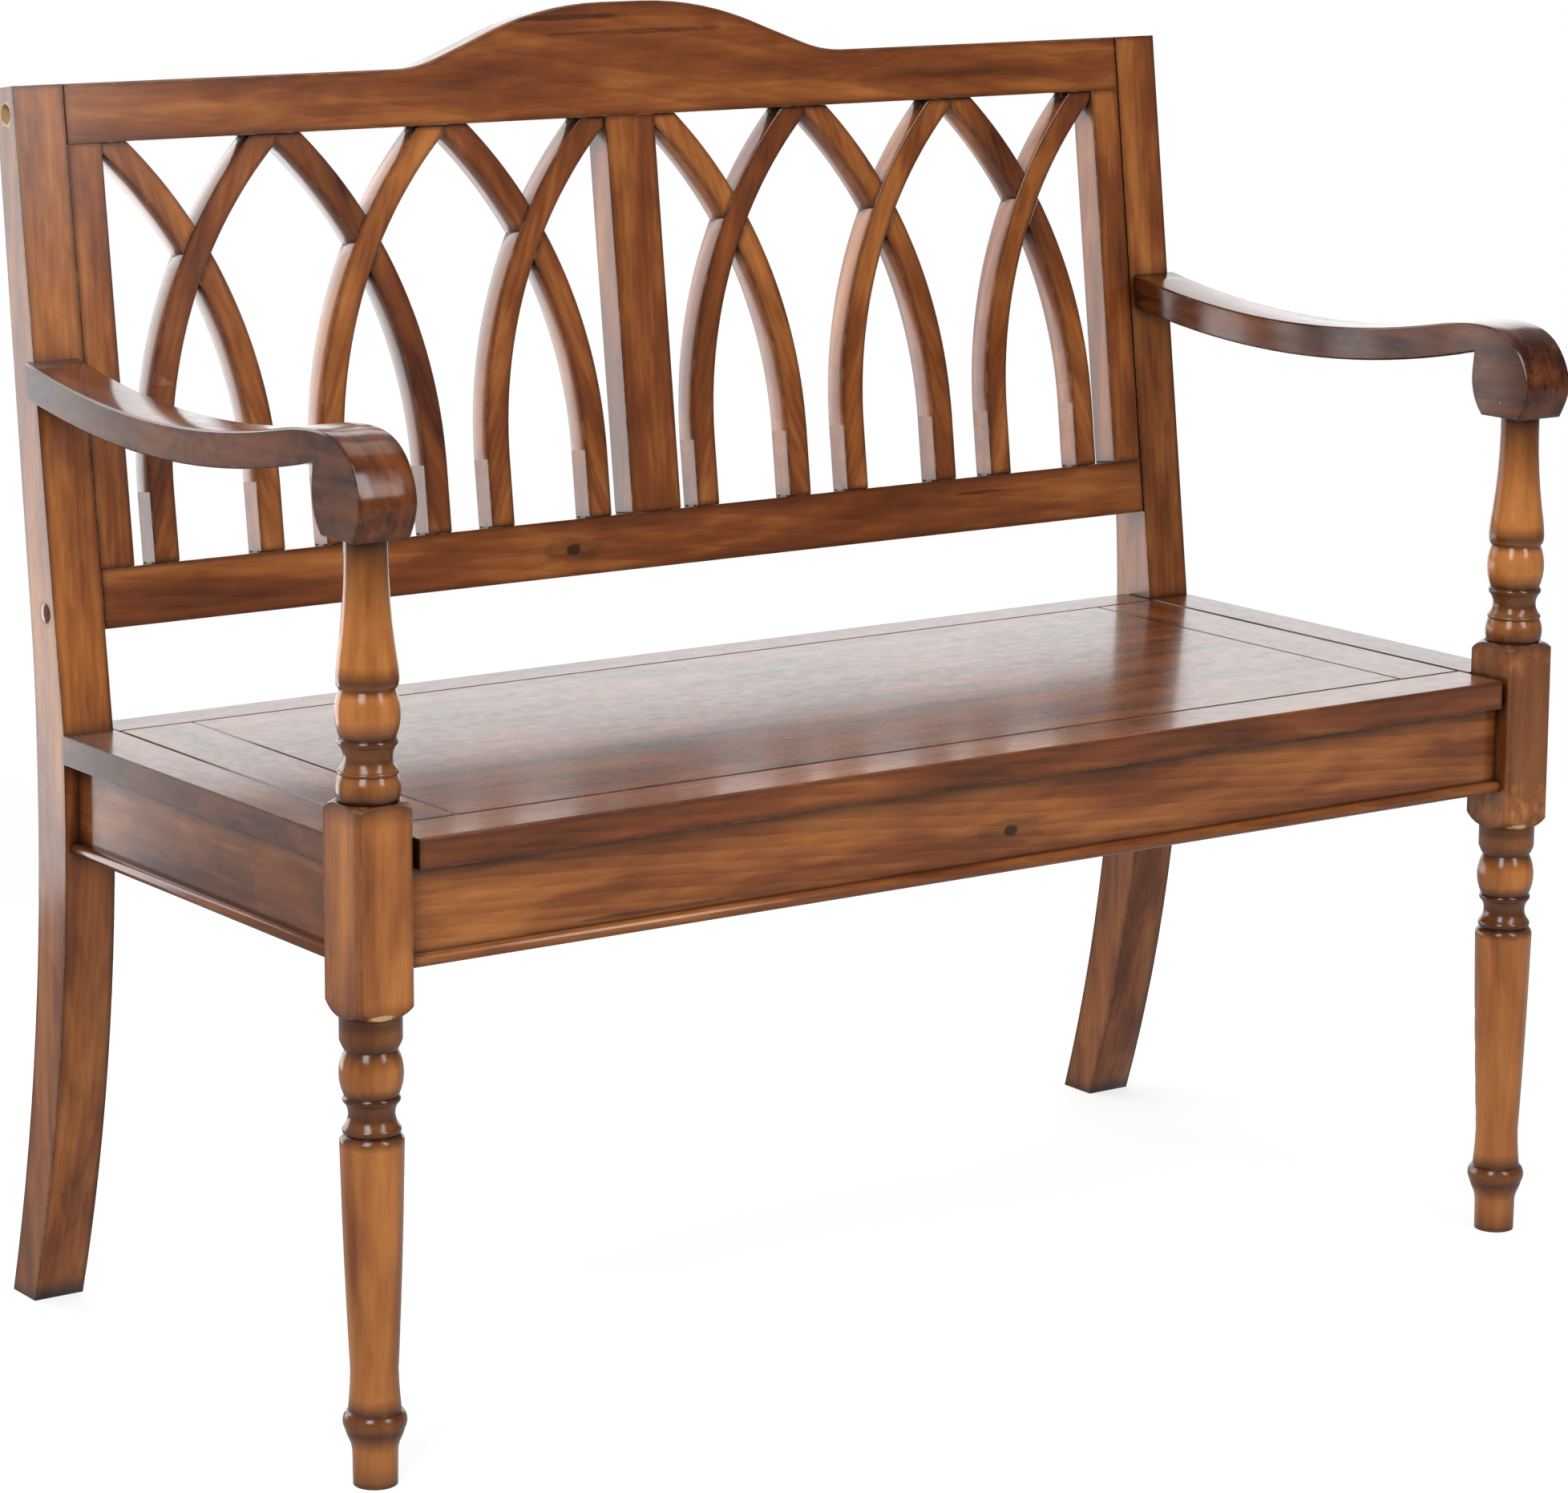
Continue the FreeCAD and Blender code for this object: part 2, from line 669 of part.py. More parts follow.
arm_shape = eased(arm_shape, arm_ease, lambda at: min(at.x, arm_wide - at.x) < tiny
                  and at.y < arm_rear_y - tiny)
arm_shape = upright(arm_shape, arm_inner, 0, 0).cut(behind_back)
arm_shape = arm_shape.cut(rod(pommel_radius + hole_fit, V(post_axis_x, 0, arm_bottom - over), V(0, 0, 1),
                              over + pommel_length + hole_spare))

# A countersunk screw holds each arm from behind, and a pin locks it to the post's tenon.
arm_screw_z = dip(post_rear_y, arm_low_under, arm_under_radius) + arm_screw_up
arm_screw_x = (arm_inner + rear_post_outer) / 2.0
rear_line = (arm_screw_z - bend.z) / up_back.z
arm_screw_y = bend.y + up_back.y * rear_line
arm_screw = countersunk(arm_screw_radius, arm_screw_head_radius, arm_screw_head_high, arm_screw_long)
arm_hole = countersunk(arm_screw_radius, arm_screw_head_radius, arm_screw_head_high, arm_screw_long,
                       hole_fit)
arm_hole = arm_hole.fuse(rod(arm_screw_head_radius + hole_fit, V(0, 0, 0), V(0, 0, -1), over))
for tool in (arm_screw, arm_hole):
    tool.rotate(V(0, 0, 0), V(1, 0, 0), 90)
    tool.translate(V(arm_screw_x, arm_screw_y - arm_screw_sunk, arm_screw_z))
arm_shape = arm_shape.cut(arm_hole)
rear_post = rear_post.cut(arm_hole)
pin_z = arm_bottom + arm_pin_up
pin_long = post_axis_x + arm_pin_past_axis - arm_inner
arm_pin = rod(arm_pin_radius, V(arm_inner, 0, pin_z), V(1, 0, 0), pin_long)
pin_hole = rod(arm_pin_radius + hole_fit, V(arm_inner - over, 0, pin_z), V(1, 0, 0),
               over + pin_long + hole_spare)
arm_shape = arm_shape.cut(pin_hole)
front_post = front_post.cut(pin_hole)
parts["arm_screws"] = group([arm_screw, mirrored(arm_screw)])
parts["arm_pins"] = group([arm_pin, mirrored(arm_pin)])
parts["arm_right"] = arm_shape
parts["arm_left"] = mirrored(arm_shape)


# Seat: a framed panel between the posts, with V grooves along its joints.
def board(x0, x1, y0, y1, grooved):
    """A seat board; the named top arrises are chamfered, which makes half of each V groove."""
    shape = box(x0, x1, y0, y1, seat_under, seat_top)
    edges = []
    for edge in shape.Edges:
        at = edge.CenterOfMass
        from_side = {"front": at.y - y0, "rear": y1 - at.y, "low_x": at.x - x0, "high_x": x1 - at.x}
        if at.z > seat_top - tiny and min(from_side[side] for side in grooved) < tiny:
            edges.append(edge)
    return shape.makeChamfer(groove_leg, edges)


tongue_low = seat_under + (seat_thick - tongue_thick) / 2.0
tongue_high = tongue_low + tongue_thick


def tongue(x0, x1, y0, y1, grow=0.0):
    return box(x0 - grow, x1 + grow, y0 - grow, y1 + grow, tongue_low - grow, tongue_high + grow)


front_rail = board(-seat_half, seat_half, seat_front_y, seat_front_groove_y, ("rear",))
front_rail = eased(front_rail, seat_edge_ease,
                   lambda at: at.z > seat_top - tiny and at.y < seat_front_y + tiny)
rear_rail = board(-seat_half, seat_half, seat_rear_groove_y, seat_rear_y, ("front",))
panel = board(-seat_end_groove_x, seat_end_groove_x, seat_front_groove_y, seat_rear_groove_y,
              ("front", "rear", "low_x", "high_x"))
end_board = board(seat_end_groove_x, seat_half, seat_front_groove_y, seat_rear_groove_y,
                  ("front", "rear", "low_x", "high_x"))
panel_long = (-seat_end_groove_x - tongue_long, seat_end_groove_x + tongue_long,
              seat_front_groove_y + tongue_end, seat_rear_groove_y - tongue_end)
panel_deep = (-seat_end_groove_x + tongue_end, seat_end_groove_x - tongue_end,
              seat_front_groove_y - tongue_long, seat_rear_groove_y + tongue_long)
end_deep = (seat_end_groove_x + tongue_long + tongue_end, seat_half - tongue_end,
            seat_front_groove_y - tongue_long, seat_rear_groove_y + tongue_long)
panel = panel.fuse([tongue(*panel_long), tongue(*panel_deep)]).removeSplitter()
end_board = end_board.cut(tongue(*panel_long, grow=fit)).fuse(tongue(*end_deep)).removeSplitter()
seat_grooves = [tongue(*panel_deep, grow=fit), tongue(*end_deep, grow=fit),
                mirrored(tongue(*end_deep, grow=fit))]
front_rail = front_rail.cut(seat_grooves)
rear_rail = rear_rail.cut(seat_grooves)


# A strip fills each side, from the front post's block to the rear post.
strip_right = board(seat_half + seam_right, strip_outer, block_half, post_front_y, ("low_x",))
strip_left = mirrored(board(seat_half + seam_left, strip_outer, block_half, post_front_y, ("low_x",)))

# Aprons: set back under the seat, each with a half-round bead along its lower edge.
tenon_low = apron_low + apron_shoulder
tenon_high = seat_under - apron_shoulder


def tenon_across(y0, y1, reach, grow=0.0):
    """A tenon bar along X for the front or rear apron."""
    middle = (y0 + y1) / 2.0
    half = apron_tenon_thick / 2.0 + grow
    return box(-reach - grow, reach + grow, middle - half, middle + half, tenon_low - grow,
               tenon_high + grow)


def tenon_along(y0, y1, grow=0.0):
    """The same along Y for a side apron."""
    middle = side_apron_x - apron_thick / 2.0
    half = apron_tenon_thick / 2.0 + grow
    return box(middle - half, middle + half, y0 - grow, y1 + grow, tenon_low - grow, tenon_high + grow)


def bead_profile(place):
    """A half-round that stands out in the direction of the first coordinate."""
    low = apron_low
    flat = bead_out - bead_high / 2.0
    edge = Outline(place, 0, low)
    edge.line(flat, low)
    edge.arc(bead_out, low + bead_high / 2.0, flat, low + bead_high)
    edge.line(0, low + bead_high)
    return edge.face()


front_reach = block_inner + apron_tenon
rear_reach = rear_post_inner + apron_tenon
front_apron_rear = front_apron_y + apron_thick
rear_apron_rear = rear_apron_y + apron_thick
front_apron = box(-block_inner, block_inner, front_apron_y, front_apron_rear, apron_low, seat_under)
front_apron = front_apron.fuse(tenon_across(front_apron_y, front_apron_rear, front_reach)).removeSplitter()
rear_apron = box(-rear_post_inner, rear_post_inner, rear_apron_y, rear_apron_rear, apron_low, seat_under)
rear_apron = rear_apron.fuse(tenon_across(rear_apron_y, rear_apron_rear, rear_reach)).removeSplitter()
side_front = block_half - apron_tenon
side_rear = post_front_y + apron_tenon
side_apron = box(side_apron_inner, side_apron_x, block_half, post_front_y + over, apron_low, seat_under)
side_apron = side_apron.cut(rear_post_blank)
side_apron = side_apron.fuse(tenon_along(side_front, side_rear)).removeSplitter()
front_mortise = tenon_across(front_apron_y, front_apron_rear, front_reach, fit)
rear_mortise = tenon_across(rear_apron_y, rear_apron_rear, rear_reach, fit)
side_mortise = tenon_along(side_front, side_rear, fit)
front_post = front_post.cut([front_mortise, side_mortise])
rear_post = rear_post.cut([rear_mortise, side_mortise])


def in_bead_front(a, b):
    return V(-block_inner, front_apron_y - a, b)


def in_bead_side(a, b):
    return V(side_apron_x + a, block_half, b)


front_bead = bead_profile(in_bead_front).extrude(V(2.0 * block_inner, 0, 0))
side_bead = bead_profile(in_bead_side).extrude(V(0, post_front_y + over - block_half, 0))
side_bead = side_bead.cut(rear_post_blank)

# Under the seat: a cross rail, two cleats, and a block in each corner with a hanger bolt.
cross_half = cross_rail_wide / 2.0
cross_rail = box(-cross_half, cross_half, front_apron_rear, rear_apron_y, cleat_low, seat_under)
cleat_inner = side_apron_inner - cleat_wide
cleat_front = block_half + corner_block_leg
cleat_rear = post_front_y - corner_block_leg
cleat = box(cleat_inner, side_apron_inner, cleat_front, cleat_rear, cleat_low, seat_under)

screw = countersunk(screw_radius, screw_head_radius, screw_head_high, seat_screw_long)
screw_hole = countersunk(screw_radius, screw_head_radius, screw_head_high, seat_screw_long, hole_fit)
long_screw = countersunk(screw_radius, screw_head_radius, screw_head_high, cleat_screw_long)
long_hole = countersunk(screw_radius, screw_head_radius, screw_head_high, cleat_screw_long, hole_fit)
for tool in (long_screw, long_hole):
    tool.rotate(V(0, 0, 0), V(0, 1, 0), 90)

seat_screws = []
seat_holes = []
cleat_screws = []
cleat_holes = []
cleat_screw_x = (cleat_inner + seat_half) / 2.0
screw_rows = [cleat_front + screw_from_end, (cleat_front + cleat_rear) / 2.0, cleat_rear - screw_from_end]
for y in screw_rows:
    for x in (-cleat_screw_x, 0.0, cleat_screw_x):
        seat_screws.append(upright(screw, x, y, cleat_low))
        seat_holes.append(upright(screw_hole, x, y, cleat_low))
    driven = upright(long_screw, cleat_inner, y + screw_offset, cleat_low + cleat_high / 2.0)
    driven_hole = upright(long_hole, cleat_inner, y + screw_offset, cleat_low + cleat_high / 2.0)
    cleat_screws += [driven, mirrored(driven)]
    cleat_holes += [driven_hole]
panel = panel.cut(seat_holes)
end_board = end_board.cut(seat_holes)
cross_rail = cross_rail.cut(seat_holes)
cleat = cleat.cut(seat_holes + cleat_holes)
side_apron = side_apron.cut(cleat_holes)
parts["seat_screws"] = group(seat_screws)
parts["cleat_screws"] = group(cleat_screws)

corner_low = (apron_low + seat_under - corner_block_high) / 2.0


def corner_block(post_x, post_y, apron_y, back):
    """A block fitted round a post's inner corner; back is 1 in front and -1 at the rear."""
    edge = Outline(in_xy, post_x - corner_block_leg, apron_y)
    edge.line(post_x, apron_y)
    edge.line(post_x, post_y)
    edge.line(side_apron_inner, post_y)
    edge.line(side_apron_inner, post_y + back * corner_block_leg)
    edge.line(side_apron_inner - corner_block_face, post_y + back * corner_block_leg)
    edge.line(post_x - corner_block_leg, apron_y + back * corner_block_face)
    return upright(edge.face().extrude(V(0, 0, corner_block_high)), 0, 0, corner_low)


def hanger(post_x, post_y, apron_y, back):
    """A hanger bolt out of the post's corner, with a washer and a nut on the block's face."""
    height = corner_low + corner_block_high / 2.0
    end_a = V(side_apron_inner - corner_block_face, post_y + back * corner_block_leg, height)
    end_b = V(post_x - corner_block_leg, apron_y + back * corner_block_face, height)
    along = (end_b - end_a).normalize()
    out = V(-abs(along.y), back * abs(along.x), 0)
    root = V(post_x, post_y, height)
    clear = (end_a - root).dot(out)
    face = root + out * clear
    bolt = rod(hanger_radius, root - out * hanger_in_post, out,
               hanger_in_post + clear + washer_thick + nut_high + hanger_spare)
    hole = rod(hanger_radius + hole_fit, root - out * (hanger_in_post + hole_spare), out,
               hanger_in_post + clear + over)
    washer = rod(washer_radius, face, out, washer_thick)
    side = V(-out.y, out.x, 0)
    nut_foot = face + out * washer_thick
    corner = nut_across_flats / math.sqrt(3.0)
    ring = []
    for i in range(6):
        angle = math.radians(60.0 * i)
        ring.append(nut_foot + side * (corner * math.cos(angle)) + V(0, 0, corner * math.sin(angle)))
    nut = Part.Face(Part.makePolygon(ring + [ring[0]])).extrude(out * nut_high)
    return bolt.fuse([washer, nut]).removeSplitter(), hole


corner_blocks = []
hangers = []
corners = ((block_inner, block_half, front_apron_rear, 1), (rear_post_inner, post_front_y, rear_apron_y, -1))
for corner in corners:
    block = corner_block(*corner)
    hanger_bolt, hanger_hole = hanger(*corner)
    block = block.cut(hanger_hole)
    corner_blocks += [block, mirrored(block)]
    hangers += [hanger_bolt, mirrored(hanger_bolt)]
    front_post = front_post.cut(hanger_hole)
    rear_post = rear_post.cut(hanger_hole)
parts["corner_blocks"] = group(corner_blocks)
parts["hanger_bolts"] = group(hangers)

parts["front_post_right"] = front_post
parts["front_post_left"] = mirrored(front_post)
parts["rear_post_right"] = rear_post
parts["rear_post_left"] = mirrored(rear_post)
parts["seat_front_rail"] = front_rail
parts["seat_rear_rail"] = rear_rail
parts["seat_panel"] = panel
parts["seat_end_board_right"] = end_board
parts["seat_end_board_left"] = mirrored(end_board)
parts["seat_side_strip_right"] = strip_right
parts["seat_side_strip_left"] = strip_left
parts["front_apron"] = front_apron
parts["rear_apron"] = rear_apron
parts["side_apron_right"] = side_apron
parts["side_apron_left"] = mirrored(side_apron)
parts["front_bead"] = front_bead
parts["side_bead_right"] = side_bead
parts["side_bead_left"] = mirrored(side_bead)
parts["seat_cross_rail"] = cross_rail
parts["seat_cleat_right"] = cleat
parts["seat_cleat_left"] = mirrored(cleat)

# The origin goes under the middle of the whole bench's outer box.
whole = Part.makeCompound(list(parts.values())).optimalBoundingBox(False, False)
middle_y = (whole.YMin + whole.YMax) / 2.0

os.makedirs("parts", exist_ok=True)
for name, shape in sorted(parts.items()):
    shape.translate(V(0, -middle_y, 0))
    if not shape.isValid():
        raise RuntimeError("not a valid shape: " + name)
    for solid in shape.Solids:
        if solid.Volume <= 0:
            raise RuntimeError("not a solid: " + name)
    shape.exportStep("parts/" + name + ".step")
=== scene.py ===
"""Finishes a deacons bench: stained and lacquered wood, worn arrises, bare wood below, studio light."""
import math

import bpy
from mathutils import Matrix, Vector

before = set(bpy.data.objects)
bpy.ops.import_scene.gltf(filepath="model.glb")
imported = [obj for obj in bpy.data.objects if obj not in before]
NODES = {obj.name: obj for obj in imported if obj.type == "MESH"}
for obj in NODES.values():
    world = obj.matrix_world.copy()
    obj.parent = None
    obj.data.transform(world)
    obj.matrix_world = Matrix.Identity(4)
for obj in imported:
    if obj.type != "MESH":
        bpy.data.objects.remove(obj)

for left_over in ("Cube", "Light", "Camera"):
    if left_over in bpy.data.objects:
        bpy.data.objects.remove(bpy.data.objects[left_over])

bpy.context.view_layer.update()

bl_info = {
    "name": "Deacons bench finish",
    "version": (1, 0, 0),
    "blender": (4, 5, 0),
    "location": "View3D > Sidebar > Bench",
    "description": "Stain, lacquer and wear for a deacons bench, with its studio",
    "category": "Material",
}


class BenchWood(bpy.types.PropertyGroup):
    """Stain colours, and the real sizes that the grain and the wear are drawn from."""

    # Dark stain, also the colour of the painted shade in seams and hollows
    dark_stain_and_shade: bpy.props.StringProperty(
        name="Dark stain", description="Stain pooled in seams and hollows, sRGB hex", default="#160804")
    late_wood: bpy.props.StringProperty(
        name="Late wood", description="Darkest streak of the stained figure, sRGB hex", default="#3B170A")
    mid_wood: bpy.props.StringProperty(
        name="Middle tone", description="Usual tone of the stained wood, sRGB hex", default="#8A4A20")
    light_wood: bpy.props.StringProperty(
        name="Light tone", description="Palest streak of the stained figure, sRGB hex", default="#CE8240")
    worn_arris: bpy.props.StringProperty(
        name="Worn arris", description="Where the stain is rubbed off an edge, sRGB hex", default="#C2925F")
    wax: bpy.props.StringProperty(
        name="Wax", description="Dried finish caught in a corner, sRGB hex", default="#A68D66")
    bare_wood: bpy.props.StringProperty(
        name="Bare wood", description="Palest unstained wood under the seat, sRGB hex", default="#D9B384")
    figure_long: bpy.props.FloatProperty(
        name="Figure length", description="Length of a broad streak of figure", default=0.24, unit="LENGTH")
    figure_wide: bpy.props.FloatProperty(
        name="Figure width", description="Width of a broad streak of figure", default=0.017, unit="LENGTH")
    streak_long: bpy.props.FloatProperty(
        name="Streak length", description="Length of a narrow streak", default=0.09, unit="LENGTH")
    streak_wide: bpy.props.FloatProperty(
        name="Streak width", description="Width of a narrow streak", default=0.0032, unit="LENGTH")
    pore_long: bpy.props.FloatProperty(
        name="Pore length", description="Length of a pore", default=0.012, unit="LENGTH")
    pore_wide: bpy.props.FloatProperty(
        name="Pore width",
        description="Width of a pore; real pores are finer and are drawn as coarse as shows",
        default=0.0007, unit="LENGTH")
    ring_gap: bpy.props.FloatProperty(
        name="Ring gap", description="Distance between growth rings", default=0.0065, unit="LENGTH")
    blotch: bpy.props.FloatProperty(
        name="Blotch", description="Width of the cloudy patches of stain", default=0.034, unit="LENGTH")
    glaze_reach: bpy.props.FloatProperty(
        name="Glaze reach", description="How far the dark glaze fades in from an arris", default=0.008,
        unit="LENGTH")
    # Reach of the pooled stain and painted shade out of a seam or hollow
    seam_reach: bpy.props.FloatProperty(
        name="Seam shade", description="How far dark stain spreads out of a seam or hollow", default=0.016,
        unit="LENGTH")
    arris_round: bpy.props.FloatProperty(
        name="Arris rounding", description="Radius sanded on each arris", default=0.0009, unit="LENGTH")
    wear_wide: bpy.props.FloatProperty(
        name="Wear width", description="Width of the rubbed line on an arris", default=0.0013,
        unit="LENGTH")


class BenchStage(bpy.types.PropertyGroup):
    """Camera, backdrop colour and floor."""

    eye: bpy.props.FloatVectorProperty(
        name="Eye", description="Where the camera stands", default=(-2.21384, -3.11957, 1.22969),
        subtype="TRANSLATION", unit="LENGTH")
    azimuth: bpy.props.FloatProperty(
        name="Azimuth", description="Direction of view, 0 looks along +Y",
        default=math.radians(-34.529), subtype="ANGLE")
    elevation: bpy.props.FloatProperty(
        name="Elevation", description="How far the camera looks down", default=math.radians(10.689),
        subtype="ANGLE")
    roll: bpy.props.FloatProperty(
        name="Roll", description="Tilt of the horizon", default=math.radians(0.163), subtype="ANGLE")
    lens: bpy.props.FloatProperty(
        name="Lens", description="Focal length on a 36 mm wide sensor, in millimetres", default=113.615)
    shift: bpy.props.FloatVectorProperty(
        name="Shift", description="Lens shift, as a share of the image width", size=2,
        default=(0.0399, -0.0672))
    backdrop: bpy.props.StringProperty(
        name="Backdrop", description="Floor and background colour, sRGB hex", default="#FFFFFF")
    floor_half: bpy.props.FloatProperty(
        name="Floor", description="Half the width of the floor", default=3.0, unit="LENGTH")


def linear(hexa):
    """An sRGB hex colour as linear red, green, blue and alpha."""
    out = []
    for i in (1, 3, 5):
        value = int(hexa[i:i + 2], 16) / 255.0
        out.append(value / 12.92 if value <= 0.04045 else ((value + 0.055) / 1.055) ** 2.4)
    return (*out, 1.0)


def add(tree, kind, inputs, stops=(), **settings):
    """Adds one shader node; each input gets a value or is joined to another node's output."""
    node = tree.nodes.new("ShaderNode" + kind)
    for key, value in settings.items():
        setattr(node, key, value)
    for key, value in inputs.items():
        if isinstance(value, bpy.types.NodeSocket):
            tree.links.new(value, node.inputs[key])
        else:
            node.inputs[key].default_value = value
    while stops and len(node.color_ramp.elements) < len(stops):
        node.color_ramp.elements.new(1.0)
    for index, (place, colour) in enumerate(stops):
        node.color_ramp.elements[index].position = place
        node.color_ramp.elements[index].color = colour
    return node


def new_material(name):
    material = bpy.data.materials.new(name)
    material.use_nodes = True
    material.node_tree.nodes.clear()
    return material, material.node_tree


# How far the edge of a band of glaze wanders up and down, in metres
BAND_WANDER = 0.004

# How the board's own long axis is turned into each grain direction
GRAIN = {
    "X": (0.0, 0.0, 0.0),
    "Y": (0.0, 0.0, math.radians(90.0)),
    "Z": (0.0, math.radians(-90.0), 0.0),
    "rising": (0.0, math.radians(-70.0), 0.0),
    "falling": (0.0, math.radians(-110.0), 0.0),
}


def grained(tree, place, grain, seed, long, wide, detail=3.0, distortion=0.0):
    """Noise drawn out along the grain; long and wide are the real size of one streak."""
    offset = (0.37 * seed, 0.61 * seed, 0.23 * seed)
    at = add(tree, "Mapping", {"Vector": place, "Location": offset, "Rotation": GRAIN[grain],
                               "Scale": (long, wide, wide)}, vector_type="TEXTURE")
    noise = add(tree, "TexNoise", {"Vector": at.outputs[0], "Scale": 1.0, "Detail": detail,
                                   "Roughness": 0.6, "Distortion": distortion})
    return noise.outputs["Fac"]


def overlaid(tree, below, hexa, source, none_at, full_at, strength):
    """Lays a colour over another, from none to its full strength as the source value changes."""
    mask = add(tree, "MapRange", {0: source, 1: none_at, 2: full_at, 3: 0.0, 4: strength}).outputs[0]
    return add(tree, "Mix", {0: mask, 6: below, 7: linear(hexa)}, data_type="RGBA").outputs[2]


def growth_rings(tree, place, grain, seed, gap):
    """Growth rings whose heart lies beside the board and a little askew, so that they arch.

    The wave texture's bands lie 2 pi / 20 of its unit apart, and its unit is sized from the ring gap.
    """
    tilt = tuple(a + b for a, b in zip(GRAIN[grain], (0.0, 0.035, 0.05)))
    size = gap * 20.0 / (2.0 * math.pi)
    at = add(tree, "Mapping", {"Vector": place, "Location": (0.9 * seed, 0.035, 0.41 + 0.013 * seed),
                               "Rotation": tilt, "Scale": (size * 6.0, size, size)}, vector_type="TEXTURE")
    wave = add(tree, "TexWave", {"Vector": at.outputs[0], "Scale": 1.0, "Distortion": 4.0, "Detail": 2.0,
                                 "Detail Scale": 0.35, "Detail Roughness": 0.55},
               wave_type="RINGS", rings_direction="X", wave_profile="SAW")
    return wave.outputs["Fac"]


def blot(tree, place, centre, radii, ragged):
    """1 inside an ellipsoid with a ragged outline, fading to 0 outside it."""
    local = add(tree, "Mapping", {"Vector": place, "Location": centre, "Scale": radii},
                vector_type="TEXTURE")
    far = add(tree, "VectorMath", {0: local.outputs[0]}, operation="LENGTH")
    edge = add(tree, "Math", {0: ragged, 1: 1.2, 2: far.outputs["Value"]}, operation="MULTIPLY_ADD")
    inside = add(tree, "MapRange", {0: edge.outputs[0], 1: 1.35, 2: 1.75, 3: 1.0, 4: 0.0},
                 interpolation_type="SMOOTHSTEP")
    return inside.outputs[0]


